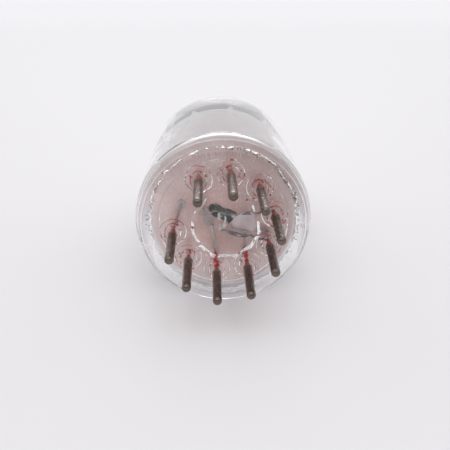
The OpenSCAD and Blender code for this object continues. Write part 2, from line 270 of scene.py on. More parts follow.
GLASS = glass_material()
SEAM = seam_material()
PIN_METAL = metal("pin_metal", (0.13, 0.10, 0.083), (0.215, 0.172, 0.15), 0.12, (0.22, 0.4),
                  (1, 9, 1), 0.002)
COPPER_RED = metal("copper_red", (0.3, 0.02, 0.018), (0.62, 0.07, 0.06), 0.1, (0.3, 0.5),
                   metallic=0.25)
# Red of the grains in the bosses: a painted stand-in for the red wires' image refracted round each
# pin.
REFRACTED_RED = metal("painted_red_refraction", (0.2, 0.012, 0.015), (0.45, 0.04, 0.04), 0.06, (0.5, 0.7),
                  metallic=0.1)
GRIT = matt("seal_oxide", (0.03, 0.028, 0.032), (0.1, 0.09, 0.095), 0.05)
NICKEL = metal("nickel", (0.38, 0.36, 0.34), (0.66, 0.63, 0.61), 0.15, (0.25, 0.45), (1, 4, 1))
SHIELD = metal("shield_metal", (0.42, 0.33, 0.32), (0.55, 0.46, 0.45), 0.2, (0.4, 0.6))
TAB_METAL = metal("tab_metal", (0.55, 0.45, 0.46), (0.72, 0.62, 0.63), 0.2, (0.3, 0.5))
ANODE = metal("greyed_anode", (0.17, 0.155, 0.17), (0.32, 0.3, 0.32), 0.1, (0.5, 0.75))
GRID_ROD = metal("grid_rod_bronze", (0.36, 0.28, 0.25), (0.5, 0.41, 0.37), 0.15, (0.3, 0.5),
                 (1, 5, 1))
DARK_NICKEL = metal("dark_nickel", (0.09, 0.085, 0.105), (0.2, 0.19, 0.22), 0.15, (0.35, 0.55))
GOLD = metal("grid_gold", (0.6, 0.38, 0.12), (0.9, 0.62, 0.25), 0.1, (0.2, 0.35))
OXIDE = matt("cathode_oxide", (0.72, 0.71, 0.68), (0.88, 0.87, 0.85), 0.08)
ALUMINA = matt("heater_alumina", (0.7, 0.69, 0.66), (0.85, 0.84, 0.8), 0.06)

MICA_LEAN = (-16, -20)  # how much the shade changes per metre, across and up


def mica_material(name, middle, edge):
    """Mica: glossy leaves with flecks and dust, darker towards the upper right.

    Its (dark, light) pair changes from middle to edge, paler there as painted haze, and the split
    rim is white.
    """
    m = Nodes(name)
    bsdf = m.add("ShaderNodeBsdfPrincipled", IOR=1.58)
    clouds, flecks = m.noise(2.5, 6.0, 0.6), m.noise(0.18, 3.0)
    shade = m.math("ADD", m.math("MULTIPLY", clouds, 0.55), m.math("MULTIPLY", flecks, 0.45))
    axes = m.add("ShaderNodeSeparateXYZ")
    m.link(m.position(), axes.inputs[0])
    x, z = axes.outputs["X"], axes.outputs["Z"]
    lean = m.math("ADD", m.math("MULTIPLY", x, MICA_LEAN[0]), m.math("MULTIPLY", z, MICA_LEAN[1]))
    shade = m.math("ADD", shade, lean)
    r = m.math("SQRT", m.math("ADD", m.math("POWER", x, 2), m.math("POWER", z, 2)))
    # Painted haze: the paler edge pair stands for light scattered by the glass in front of the
    # mica.
    colour = m.mix(m.span(r, 0.0, 1.0, 3 * MM, 8.5 * MM), m.ramp(shade, grey_mix(*middle)),
                   m.ramp(shade, grey_mix(*edge)))
    dust = m.span(m.noise(0.25, 2.0, 0.6), 0.0, 0.8, 0.58, 0.68)
    colour = m.mix(dust, colour, m.ramp(clouds, grey_mix((0.62, 0.55, 0.53), (0.8, 0.73, 0.71))))
    split = m.ramp(shade, grey_mix((0.8, 0.77, 0.78), (0.94, 0.92, 0.93)))
    rim = m.span(r, 0.0, 0.9, 8.4 * MM, 8.9 * MM)
    m.link(m.mix(rim, colour, split), bsdf.inputs["Base Color"])
    m.link(m.span(flecks, 0.22, 0.5), bsdf.inputs["Roughness"])
    m.link(m.bump(flecks, 0.006), bsdf.inputs["Normal"])
    m.link(bsdf.outputs[0], m.out.inputs[0])
    return m.mat


def film_material():
    """Getter film: a bright mirror near the top of the bulb that thins out in ragged patches."""
    m = Nodes("getter_mirror")
    bsdf = m.add("ShaderNodeBsdfPrincipled", Metallic=1.0)
    patches = m.noise(4.0, 2.0)
    axis = m.add("ShaderNodeSeparateXYZ")
    m.link(m.position(), axis.inputs[0])
    height = m.math("DIVIDE", axis.outputs["Y"], MM)
    thin = m.ramp(patches, grey_mix((0.32, 0.285, 0.305), (0.43, 0.39, 0.41)))
    # Darker where the film is thick, at the dome: painted shade for the dark top of the bulb.
    thick_and_shaded = m.ramp(patches, grey_mix((0.178, 0.165, 0.175), (0.25, 0.235, 0.246)))
    colour = m.mix(m.span(height, 0.0, 1.0, FILM_Y + 3, FILM_Y + 7), thin, thick_and_shaded)
    m.link(colour, bsdf.inputs["Base Color"])
    smear = m.math("ADD", m.span(height, 0.4, 0.16, FILM_Y + 2, FILM_Y + 6),
                   m.span(patches, 0.08, 0.18))
    m.link(smear, bsdf.inputs["Roughness"])
    ragged = m.math("ADD", height, m.span(m.noise(3.5, 3.0), -0.7, 0.7))
    m.link(m.span(ragged, 0.0, 0.97, FILM_Y + 0.9, FILM_Y + 3.4), bsdf.inputs["Alpha"])
    m.link(bsdf.outputs[0], m.out.inputs[0])
    return m.mat


# The second, paler pair of each mica is painted haze from the glass in front.
MICA = mica_material("ruby_mica", ((0.45, 0.265, 0.225), (0.75, 0.47, 0.42)),
                     ((0.54, 0.41, 0.39), (0.84, 0.69, 0.67)))
SPRAYED_MICA = mica_material("sprayed_mica", ((0.68, 0.60, 0.62), (0.86, 0.77, 0.79)),
                             ((0.74, 0.66, 0.68), (0.92, 0.83, 0.85)))
FILM = film_material()


# ---- Mesh helpers --------------------------------------------------------------------


def add_piece(name, vertices, faces, material, replaced, smooth=True):
    """A new piece that rides on the frame and stands for its CAD nodes."""
    mesh = bpy.data.meshes.new(name)
    mesh.from_pydata(vertices, [], faces)
    mesh.materials.append(material)
    mesh.polygons.foreach_set("use_smooth", [smooth] * len(mesh.polygons))
    mesh.update()
    piece = bpy.data.objects.new(name, mesh)
    bpy.context.scene.collection.objects.link(piece)
    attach(piece, "root")
    if replaced:
        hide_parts(*replaced)
    return piece


def arc(centre, r, start, end, steps):
    """Points (r, y) of an arc, from start to end in degrees."""
    angles = [math.radians(start + (end - start) * i / steps) for i in range(steps + 1)]
    return [(centre[0] + r * math.cos(a), centre[1] + r * math.sin(a)) for a in angles]


def line(start, end, steps):
    """Points of a straight stretch, without its first one."""
    return [tuple(s + (e - s) * i / steps for s, e in zip(start, end)) for i in range(1, steps + 1)]


def curve(points, steps):
    """Points of a cubic curve with four control points, without its first one."""
    out = []
    for i in range(1, steps + 1):
        t = i / steps
        weights = ((1 - t) ** 3, 3 * (1 - t) ** 2 * t, 3 * (1 - t) * t * t, t ** 3)
        out.append(tuple(sum(w * p[j] for w, p in zip(weights, points)) for j in (0, 1)))
    return out


def tube_faces(rings, sides):
    """Faces of a closed tube: vertex 0 at its start, rings of vertices, and one at its end.

    They face outwards if the rings turn right-handed about the tube, and inwards if left-handed.
    """
    end, last = 1 + (rings - 1) * sides, 1 + rings * sides
    faces = []
    for j in range(sides):
        k = (j + 1) % sides
        faces.append((0, 1 + k, 1 + j))
        for a in range(1, end, sides):
            faces.append((a + j, a + k, a + sides + k, a + sides + j))
        faces.append((end + j, end + k, last))
    return faces


def lathe(name, profile, centre, change, material, replaced, sides=40):
    """A closed turned piece. Its profile (r, y) starts and ends on its own axis, through centre.

    change(x, y, z) is what is added to a radius of 1 in one direction, y mm along.
    """
    rings = profile[1:-1]
    vertices = [centre + Vector((0, profile[0][1], 0)) * MM]
    for r, y in rings:
        for j in range(sides):
            a = 2 * math.pi * j / sides
            changed = r * (1 + change(math.cos(a), y, math.sin(a)))
            vertices.append(centre + Vector((changed * math.cos(a), y, changed * math.sin(a))) * MM)
    vertices.append(centre + Vector((0, profile[-1][1], 0)) * MM)
    faces = [f[:1] + f[:0:-1] for f in tube_faces(len(rings), sides)]
    add_piece(name, vertices, faces, material, replaced)


# ---- Glass envelope ------------------------------------------------------------------

BASE_R = BULB_R - CORNER_R
SHOULDER = (BULB_R - SHOULDER_R, SHOULDER_Y)
DOME_R = SHOULDER_R + SHOULDER[0] / math.cos(math.radians(SHOULDER_TURN))
DOME_Y = SHOULDER_Y - SHOULDER[0] * math.tan(math.radians(SHOULDER_TURN))
DOME_TOP = DOME_Y + DOME_R
SEAM_RING_STEPS = 32


def corner(start, end, steps):
    """Points of the quarter ellipse at the edge of the base."""
    return [(BASE_R + CORNER_R * x, CORNER_H + CORNER_H * y)
            for x, y in arc((0, 0), 1, start, end, steps)]


def outer_profile():
    """(points, index of the seam) from the edge of the flat base round to the exhaust tip."""
    points = corner(-90, SEAM_ANGLE, SEAM_RING_STEPS)
    seam = len(points) - 1
    points += corner(SEAM_ANGLE, 0, SEAM_RING_STEPS)[1:]
    points += line((BULB_R, CORNER_H), (BULB_R, SHOULDER_Y), 44)
    points += arc(SHOULDER, SHOULDER_R, 0, SHOULDER_TURN, SHOULDER_STEPS)[1:]
    points += arc((0, DOME_Y), DOME_R, SHOULDER_TURN, DOME_TURN, DOME_STEPS)[1:]
    edge, neck = points[-1], (TIP_NECK_R, DOME_TOP + TIP_H - TIP_NECK_DROP)
    flare = [(edge[0] - 1.4, edge[1] + 0.25), (neck[0] + 0.3, neck[1] - 1.4)]
    points += curve([edge, *flare, neck], 12)
    tip = (0.0, DOME_TOP + TIP_H)
    points += curve([neck, (neck[0] - 0.2, neck[1] + 0.8), (0.6, tip[1]), tip], 8)
    return points, seam


def inner_profile():
    """(points, index of the seam) from the edge of the stem's flat face to the tip's hollow."""
    wall_r = BULB_R - WALL
    centre = (INNER_FLAT_R, STEM_T + FILLET_R)
    points = arc(centre, FILLET_R, -90, SEAM_ANGLE, 28)
    seam = len(points) - 1
    points += arc(centre, FILLET_R, SEAM_ANGLE, 0, 16)[1:]
    points += line(points[-1], (wall_r, SHOULDER_Y), 40)
    points += arc(SHOULDER, SHOULDER_R - WALL, 0, SHOULDER_TURN, SHOULDER_STEPS)[1:]
    points += arc((0, DOME_Y), DOME_R - WALL, SHOULDER_TURN, DOME_TURN + 5, DOME_STEPS)[1:]
    edge, end_y = points[-1], DOME_TOP + 1.6
    points += curve([edge, (0.7, edge[1]), (0.5, DOME_TOP + 0.2), (0.45, DOME_TOP + 0.6)], 6)
    points += curve([points[-1], (0.4, DOME_TOP + 1.2), (0.2, end_y), (0.0, end_y)], 5)
    return points, seam


# Relief of the glass, in millimetres. First the lines and rings: (height or depth, half width).
SEAL_LINE = (0.07, 0.05)
FOLD = (0.15, 0.08)
RIDGE = (0.12, 0.13)
# How a boss falls away outside, and its crown, step and edge inside.
OUTER_BOSS_FALL = 0.16
BOSS_CROWN = 0.15
BOSS_STEP, BOSS_STEP_R = 0.22, 0.8
BOSS_EDGE = 0.16
# Heights of the slow unevenness of pressed glass.
WALL_RIPPLE, HOLLOW_RIPPLE = 0.012, 0.02
OUTER_SAG, INNER_SAG, BOSS_SAG = 0.05, 0.03, 0.05
WIDE_CREASE, FINE_CREASE = 0.07, 0.02

PIN_PLACES = [place(PIN_CIRCLE_R, pin_angle(k), 0) / MM for k in range(1, PIN_COUNT + 1)]


def crease(x, z, size, seed, width=0.05):
    """Narrow lines that wander over a face about size mm apart: 1 on a line, 0 off it."""
    return max(0.0, 1 - abs(wobble(x, 0, z, size, seed)) / width)


def unround(k, angle):
    """How far boss k is from a true circle in one direction, as a factor near 1."""
    return 1 + 0.05 * wobble(math.cos(angle), 3.0 * k, math.sin(angle), 1.1, 6.0)


def nearest_pin(x, z):
    """(distance, pin number) of the nearest pin, where a boss's own outline is at one distance."""
    gap, k = min((math.hypot(x - p.x, z - p.z), k) for k, p in enumerate(PIN_PLACES))
    return gap / unround(k, math.atan2(z - PIN_PLACES[k].z, x - PIN_PLACES[k].x)), k


def outer_shift(x, y, z):
    """How far the outer glass stands off its plain profile at a point: (outward, along +Y)."""
    r = math.hypot(x, z)
    if r < BASE_R and y < CORNER_H:
        d, _ = nearest_pin(x, z)
        boss = OUTER_BOSS_H * math.exp(-max(0.0, d - PIN_R) / OUTER_BOSS_FALL)
        sag = OUTER_SAG * wobble(x, 0, z, 2.6, 3.0) * min(1.0, (BASE_R - r) / 1.5)
        return 0.0, max(0.0, sag) - boss
    depth, width = SEAL_LINE
    lines = sum(bell(y - at - 0.03 * wobble(x, 0, z, 2.0, at), width) for at in SEAL_LINES)
    ripple = wobble(x, y if y > SHOULDER_Y else y / 3, z, 3.0, 5.0)
    return -WALL_RIPPLE * (1 + ripple) - depth * lines, 0.0


def inner_shift(x, y, z):
    """The same for the inner glass: the cold seal's fold, a ridge outside it, dish and bosses."""
    if y > STEM_T + 2.2:
        return HOLLOW_RIPPLE * wobble(x, y / 2, z, 3.0, 9.0), 0.0
    r = max(math.hypot(x, z), 1e-6)
    middle = SEAL_R + 0.14 * wobble(x, 0, z, 1.5, 4.0) + 0.08 * wobble(x, 0, z, 0.4, 14.0)
    depth = 0.3 + wobble(x, y, z, 0.5, 1.0) + 0.6 * wobble(x, y, z, 0.3, 13.0)
    depth += 0.35 * (0.6 * x + z) / r
    fold = FOLD[0] * max(0.0, depth) * bell(r - middle, FOLD[1])
    up = -fold + RIDGE[0] * bell(r - RIDGE_R, RIDGE[1])
    if r < INNER_FLAT_R:
        d, _ = nearest_pin(x, z)
        off_centre = math.hypot(x - DISH_AT[0], z - DISH_AT[1])
        out_of_dish = off_centre - DISH_R - 0.3 * wobble(x, 0, z, 1.7, 7.0)
        slope = DISH_SLOPE * (1 + 0.8 * wobble(x, 0, z, 1.1, 17.0))
        up -= DISH_DEPTH * (1 - min(1.0, max(0.0, out_of_dish / slope)))
        boss = INNER_BOSS_H - BOSS_CROWN * smooth((d - 0.2) / 0.4)
        boss -= BOSS_STEP * smooth((d - BOSS_STEP_R) / 0.2)
        boss += BOSS_SAG * wobble(x, 0, z, 0.55, 11.0)
        up += boss * (1 - smooth((d - INNER_BOSS_R + BOSS_EDGE) / BOSS_EDGE))
        up += INNER_SAG * wobble(x, 0, z, 1.3, 8.0)
        up -= WIDE_CREASE * crease(x, z, 3.4, 12.0) + FINE_CREASE * crease(x, z, 1.8, 21.0, 0.06)
    return fold, up


def circle(r):
    """SEGMENTS points (x, z) round the axis."""
    angles = [2 * math.pi * j / SEGMENTS for j in range(SEGMENTS)]
    return [(r * math.cos(a), r * math.sin(a)) for a in angles]


def face_net(rim_r, pin_rings, pin_sides, axis_rings, step, keep_clear):
    """Triangles over a round face, finer round each pin: ((x, z) points, faces).

    The first SEGMENTS points are the rim. A staggered grid fills what the rings leave free.
    """
    points = circle(rim_r)
    for k, centre in enumerate(PIN_PLACES):
        points.append((centre.x, centre.z))
        for d in pin_rings:
            for j in range(pin_sides):
                a = 2 * math.pi * j / pin_sides
                wide = d * unround(k, a)
                point = (centre.x + wide * math.cos(a), centre.z + wide * math.sin(a))
                if math.hypot(*point) < rim_r - RIM_CLEARANCE:
                    points.append(point)
    for r in axis_rings:
        points += [p for p in circle(r) if nearest_pin(*p)[0] > keep_clear]
    count = int(rim_r / step)
    for i in range(-count, count + 1):
        for j in range(-count, count + 1):
            x, z = i * step + 0.5 * step * (j % 2), j * step
            r = math.hypot(x, z)
            near_ring = any(abs(r - a) < 0.6 * step for a in axis_rings)
            if r < rim_r - 0.8 * step and not near_ring and nearest_pin(x, z)[0] > keep_clear:
                points.append((x, z))
    made = geometry.delaunay_2d_cdt([Vector(p) for p in points], [], [], 0, 1e-6, True)
    number = [ids[0] for ids in made[3]]
    return points, [tuple(number[v] for v in face) for face in made[2]]


def revolve(profile, shift):
    """Rings of points round the axis, in mm, with a single point at the far end."""
    turns = np.radians(np.arange(SEGMENTS) * 360 / SEGMENTS)
    out = []
    for i, (r, y) in enumerate(profile):
        if i == len(profile) - 1:
            out.append([(0.0, y + shift(0.0, y, 0.0)[1], 0.0)])
            continue
        ring = []
        for a in turns:
            x, z = r * math.cos(a), r * math.sin(a)
            out_by, along_by = shift(x, y, z)
            grow = 1 + out_by / r
            ring.append((x * grow, y + along_by, z * grow))
        out.append(ring)
    return out


def skin(rings, first, last, offset, flip):
    """Faces between rings, as vertex numbers counted from offset. The last ring may be a point."""
    starts, total = [], offset
    for ring in rings:
        starts.append(total)
        total += len(ring)
    faces = []
    for i in range(first, last):
        a, b = starts[i], starts[i + 1]
        for j in range(SEGMENTS):
            k = (j + 1) % SEGMENTS
            if len(rings[i + 1]) == 1:
                face = (a + j, a + k, b)
            else:
                face = (a + j, a + k, b + k, b + j)
            faces.append(face[::-1] if flip else face)
    return faces, starts


def vertex_normals(points, faces):
    """Smooth normals of a whole surface, so that its two parts shade alike where they meet."""
    normals = np.zeros_like(points)
    for size in (3, 4):
        group = np.array([f for f in faces if len(f) == size])
        if not len(group):
            continue
        a, b, c = points[group[:, 0]], points[group[:, 1]], points[group[:, -1]]
        face_normals = np.cross(b - a, c - a)
        if size == 4:
            d = points[group[:, 2]]
            face_normals = np.cross(d - a, c - b)
        for j in range(size):
            np.add.at(normals, group[:, j], face_normals)
    return normals / np.maximum(np.linalg.norm(normals, axis=1, keepdims=True), 1e-12)


def glass_piece(name, points, normals, faces, seam_faces, replaced):
    """One part of the envelope, with the whole envelope's normals and a hidden seam."""
    used = sorted({v for f in faces + seam_faces for v in f})
    number = {v: i for i, v in enumerate(used)}
    local = [tuple(number[v] for v in f) for f in faces + seam_faces]
    vertices = [Vector(points[v]) * MM for v in used]
    mesh = add_piece(name, vertices, local, GLASS, replaced).data
    mesh.materials.append(SEAM)
    for polygon in mesh.polygons[len(faces):]:
        polygon.material_index = 1
    loops = [normals[v] for f in faces for v in f]
    for polygon in mesh.polygons[len(faces):]:
        loops += [tuple(polygon.normal)] * len(polygon.vertices)
    mesh.normals_split_custom_set([tuple(n) for n in loops])


# Radii of the rings of points round each pin and round the axis, closest where the glass bends.
OUTER_PIN_RINGS = (0.3, 0.45, 0.51, 0.56, 0.61, 0.67, 0.74, 0.83, 0.95, 1.1, 1.3, 1.55)
INNER_PIN_RINGS = (0.15, 0.3, 0.45, 0.6, 0.75, *[0.8 + 0.03 * i for i in range(8)],
                   1.08, 1.15, 1.25, 1.35, 1.4, *[1.43 + 0.02 * i for i in range(10)],
                   1.64, 1.7, 1.78)
INNER_AXIS_RINGS = tuple(RIDGE_R - 0.3 + 0.06 * i for i in range(7))
# Points round a pin's rings, the grid's step, and how far points stay from the rim.
OUTER_PIN_SIDES, INNER_PIN_SIDES = 64, 96
OUTER_STEP, INNER_STEP = 0.35, 0.09
RIM_CLEARANCE = 0.04


def bubble(centre, r):
    """A small round hollow inside the glass: (points in mm, faces facing into it)."""
    sides, rows = 16, 8
    points = [centre + Vector((0, -r, 0))]
    for i in range(1, rows):
        b = math.pi * i / rows
        for j in range(sides):
            a = 2 * math.pi * j / sides
            points.append(centre + r * Vector((math.sin(b) * math.cos(a), -math.cos(b),
                                               math.sin(b) * math.sin(a))))
    points.append(centre + Vector((0, r, 0)))
    return points, tube_faces(rows - 1, sides)


# Bubbles in the wall near the base: (angle, mm along the axis, radius in mm).
BUBBLES = [(78, 3.1, 0.13), (104, 3.6, 0.12), (52, 3.3, 0.1), (131, 3.0, 0.09), (22, 3.4, 0.1),
           (160, 3.9, 0.08), (300, 3.3, 0.1), (245, 3.6, 0.09)]


def build_envelope():
    """The whole glass as one surface, cut at the seam into the stem and the bulb."""
    outer_points, outer_seam = outer_profile()
    inner_points, inner_seam = inner_profile()
    outer, inner = revolve(outer_points, outer_shift), revolve(inner_points, inner_shift)
    points = [p for ring in outer for p in ring]
    inner_start = len(points)
    points += [p for ring in inner for p in ring]
    stem_out, outer_starts = skin(outer, 0, outer_seam, 0, True)
    bulb_out, _ = skin(outer, outer_seam, len(outer) - 1, 0, True)
    stem_in, inner_starts = skin(inner, 0, inner_seam, inner_start, False)
    bulb_in, _ = skin(inner, inner_seam, len(inner) - 1, inner_start, False)

    def cover(net, start, y, shift, flip):
        """The flat face inside the ring that begins at start."""
        flat, faces = net
        offset = len(points) - SEGMENTS
        points.extend((x, y + shift(x, y, z)[1], z) for x, z in flat[SEGMENTS:])
        real = [tuple(v + (start if v < SEGMENTS else offset) for v in f) for f in faces]
        return [f[::-1] for f in real] if flip else real

    net = face_net(BASE_R, OUTER_PIN_RINGS, OUTER_PIN_SIDES, (), OUTER_STEP,
                   OUTER_PIN_RINGS[-1] + 0.1)
    stem_out += cover(net, 0, 0.0, outer_shift, False)
    net = face_net(INNER_FLAT_R, INNER_PIN_RINGS, INNER_PIN_SIDES, INNER_AXIS_RINGS, INNER_STEP,
                   INNER_PIN_RINGS[-1] + 0.05)
    stem_in += cover(net, inner_start, STEM_T, inner_shift, True)

    a, b = outer_starts[outer_seam], inner_starts[inner_seam]
    seam = [(a + j, a + (j + 1) % SEGMENTS, b + (j + 1) % SEGMENTS, b + j) for j in range(SEGMENTS)]
    bubbles = []
    for angle, y, r in BUBBLES:
        more, faces = bubble(place(BULB_R - WALL / 2, angle, y) / MM, r)
        bubbles += [tuple(len(points) + v for v in f) for f in faces]
        points += [tuple(p) for p in more]
    points = np.array(points)
    normals = vertex_normals(points, stem_out + bulb_out + stem_in + bulb_in + bubbles)
    glass_piece("stem_glass", points, normals, stem_out + stem_in, [f[::-1] for f in seam],
                ["stem"])
    glass_piece("bulb_glass", points, normals, bulb_out + bulb_in + bubbles, seam, ["bulb"])


# ---- Metal in the base ---------------------------------------------------------------


def build_pins():
    """Drawn pins with a rounded nose, and the thinner end that stands in the glass."""
    r, y = PIN_R, -PIN_END
    nose = arc((r - PIN_NOSE_R, y + PIN_NOSE_R), PIN_NOSE_R, -90, 0, 8)
    shank = [(r, y + 1.2), (r, y + 3.0), (r, -1.4), (r, -OUTER_BOSS_H)]
    root = [(0.37, -OUTER_BOSS_H + 0.06), (0.35, 0.2), (0.33, 0.72), (0.24, PIN_ROOT_Y)]
    profile = [(0.0, y)] + nose + shank + root + [(0.0, PIN_ROOT_Y)]
    for k in range(1, PIN_COUNT + 1):
        def drawn(x, along, z, k=k):
            return 0.012 * wobble(x, along / 6, z, 0.5, 3.0 * k) - 0.012
        lathe(f"pin_{k}_drawn", profile, place(PIN_CIRCLE_R, pin_angle(k), 0), drawn, PIN_METAL,
              [f"pin_{k}"])


def sweep(name, path, radius, material, replaced, sides=16):
    """A closed round wire along a path in mm. radius(i, point) gives its size at each point."""
    vertices = [path[0] * MM]
    side = Vector((0, 0, 1)).cross(path[1] - path[0])
    if side.length < 1e-6:
        side = Vector((1, 0, 0))
    for i, point in enumerate(path):
        along = (path[min(i + 1, len(path) - 1)] - path[max(i - 1, 0)]).normalized()
        side = (side - along * side.dot(along)).normalized()
        other = along.cross(side)
        for j in range(sides):
            a = 2 * math.pi * j / sides
            out = side * math.cos(a) + other * math.sin(a)
            vertices.append((point + out * radius(i, point + 0.1 * out)) * MM)
    vertices.append(path[-1] * MM)
    add_piece(name, vertices, tube_faces(len(path), sides), material, replaced)


def build_seal_wires():
    """Copper-clad wires with the beaded skin that they get in the hot glass.

    The wires of two pins bend over the bosses and run on level towards the middle.
    """
    towards = {6: place(GRID_ROD_X, ELECTRODE_ANGLE, 0) / MM, 7: Vector((-1.35, 0, -0.85))}
    for k in range(1, PIN_COUNT + 1):
        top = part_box(f"seal_wire_{k}")[1].y / MM
        foot = place(PIN_CIRCLE_R, pin_angle(k), 0) / MM
        end = top if k not in towards else top - SEAL_WIRE_R - LEAD_BEND
        path = [foot + Vector((0, PIN_ROOT_Y + (end - PIN_ROOT_Y) * i / 30, 0)) for i in range(31)]
        if k in towards:
            inward = (towards[k] - foot).normalized()
            bend = arc((LEAD_BEND, end), LEAD_BEND, 180, 90, 8)[1:]
            path += [foot + r * inward + Vector((0, y, 0)) for r, y in bend]
            path += [foot + r * inward + Vector((0, bend[-1][1], 0))
                     for r, _ in line((LEAD_BEND, 0), (SEAL_RUN, 0), 22)]

        def beaded(i, point, k=k):
            return SEAL_WIRE_R * (0.88 + 0.16 * wobble(*point, 0.3, 5.0 * k))
        sweep(f"seal_wire_{k}_beaded", path, beaded, COPPER_RED, [f"seal_wire_{k}"])


# How many grains lie along the cold seal, the (middle, spread) of the angles where they gather,
# and how many red grains each pin's boss has, which paint in the red wire's refracted image.
GRIT_COUNT = 320
GRIT_UPPER_RIGHT, GRIT_LEFT = (38, 26), (178, 14)
BOSS_SPECKS = (10, 26, 40, 26, 20, 10, 9, 18, 12)


def build_specks(name, spots, material):
    """Grains caught in the glass, each a rough lump, from (point in mm, radius in mm) pairs."""
    axes = [sign * Vector(a) for sign in (1, -1) for a in ((1, 0, 0), (0, 1, 0), (0, 0, 1))]
    lump = ((0, 1, 2), (1, 3, 2), (3, 4, 2), (4, 0, 2), (1, 0, 5), (3, 1, 5), (4, 3, 5), (0, 4, 5))
    vertices, faces = [], []
    for point, r in spots:
        faces += [tuple(len(vertices) + v for v in f) for f in lump]
        vertices += [(point + r * (1 + 0.7 * wobble(*(point + 2 * a), 0.9)) * a) * MM for a in axes]
    add_piece(name, vertices, faces, material, [], smooth=False)


def build_seal_grit():
    """Dark grains along the cold seal, most at its upper right, and red grains in the bosses that
    paint the wires' refracted red.
    """
    chance = random.Random(11)
    spots = []
    for i in range(GRIT_COUNT):
        if i % 3:
            angle = chance.gauss(*GRIT_UPPER_RIGHT)
        else:
            angle = chance.choice((chance.uniform(-180, 180), chance.gauss(*GRIT_LEFT)))
        a = math.radians(angle)
        r = SEAL_R + 0.14 * wobble(math.cos(a), 0, math.sin(a), 0.3)
        off, y = abs(chance.gauss(0, 0.16)), chance.uniform(1.85, 2.0)
        spots.append((place(r + off, angle, y) / MM, chance.uniform(0.025, 0.07)))
    build_specks("seal_grit", spots, GRIT)
    spots = []
    # Red grains round each pin: painted refraction of the red wire in its boss.
    for count, centre in zip(BOSS_SPECKS, PIN_PLACES):
        for _ in range(count):
            a, d = chance.uniform(0, 2 * math.pi), chance.gauss(0.92, 0.14)
            at = Vector((d * math.cos(a), chance.uniform(1.5, 2.1), d * math.sin(a)))
            spots.append((centre + at, chance.uniform(0.05, 0.14)))
    build_specks("boss_specks", spots, REFRACTED_RED)


# ---- Electrodes ----------------------------------------------------------------------

# The anode's sheet, its mesh, and its beads and press marks, by place along the axis.
ANODE_SHEET = 0.25
ANODE_STEP, ANODE_ROWS = 0.16, 60
ANODE_BEADS, BEAD_DEPTH = (8.2, 11.8, 15.4), 0.24
ANODE_MARKS, MARK_X, MARK_DEPTH = (7.6, 11.8, 16.0), 6.05, 0.1


def anode_path():
    """Middle line of a pressed half, from flange to flange: (x, y) along and across the anode.

    The flanges fold half round the two rods, and the flat face stands off them.
    """
    flange_x, foot_x, face_x, rod_x, rod_r = 6.4, 4.05, 3.4, 5.2, 0.595
    flange_y, face_y = 0.145, 2.225
    right = [(flange_x, flange_y)] + arc((rod_x, 0), rod_r, 14.1, 165.9, 12)
    right += [(foot_x, flange_y), (face_x, face_y)]
    corners = right + [(-x, y) for x, y in reversed(right)]
    path = corners[:1]
    for start, end in zip(corners, corners[1:]):
        path += line(start, end, max(1, round(math.dist(start, end) / ANODE_STEP)))
    for _ in range(3):
        path[1:-1] = [tuple((a[j] + 2 * b[j] + c[j]) / 4 for j in (0, 1))
                      for a, b, c in zip(path, path[1:], path[2:])]
    return path


def pressed(x, y):
    """How far the sheet is pressed in: beads over the flat face, and marks out on the flanges."""
    bead = sum(bell(y - at, 0.32) for at in ANODE_BEADS)
    off = (abs(x) - MARK_X) / 0.22
    mark = sum(math.exp(-(((y - at) / 0.3) ** 4 + off ** 4)) for at in ANODE_MARKS)
    return BEAD_DEPTH * bead * smooth((2.9 - abs(x)) / 0.5) - MARK_DEPTH * mark


def build_anode():
    """Two pressed halves, each a sheet with stiffening beads and the press marks that join them."""
    low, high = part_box("anode_front")[0].y / MM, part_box("anode_front")[1].y / MM
    path = anode_path()
    rows = [low + (high - low) * i / ANODE_ROWS for i in range(ANODE_ROWS + 1)]
    a = math.radians(ELECTRODE_ANGLE)
    for name, side in (("anode_front", 1), ("anode_rear", -1)):
        vertices = []
        for half in (0.5, -0.5):
            for y in rows:
                for i, (px, py) in enumerate(path):
                    before, after = path[max(i - 1, 0)], path[min(i + 1, len(path) - 1)]
                    dx, dy = after[0] - before[0], after[1] - before[1]
                    off = (ANODE_SHEET * half - pressed(px, y)) / math.hypot(dx, dy)
                    x, across = side * (px + dy * off), side * (py - dx * off)
                    vertices.append(Vector((x * math.cos(a) + across * math.sin(a), y,
                                            x * math.sin(a) - across * math.cos(a))) * MM)
        n, m = len(path), len(rows)
        faces = []
        for i in range(m - 1):
            for j in range(n - 1):
                p = i * n + j
                q = p + n * m
                faces += [(p, p + 1, p + n + 1, p + n), (q, q + n, q + n + 1, q + 1)]
        rim = list(range(n)) + [i * n + n - 1 for i in range(1, m)]
        rim += [(m - 1) * n + j for j in range(n - 2, -1, -1)]
        rim += [i * n for i in range(m - 2, 0, -1)]
        for p, q in zip(rim, rim[1:] + rim[:1]):
            faces.append((q, p, p + n * m, q + n * m))
        piece = add_piece(f"{name}_pressed", vertices, faces, ANODE, [name])
        piece.data.set_sharp_from_angle(angle=math.radians(60))


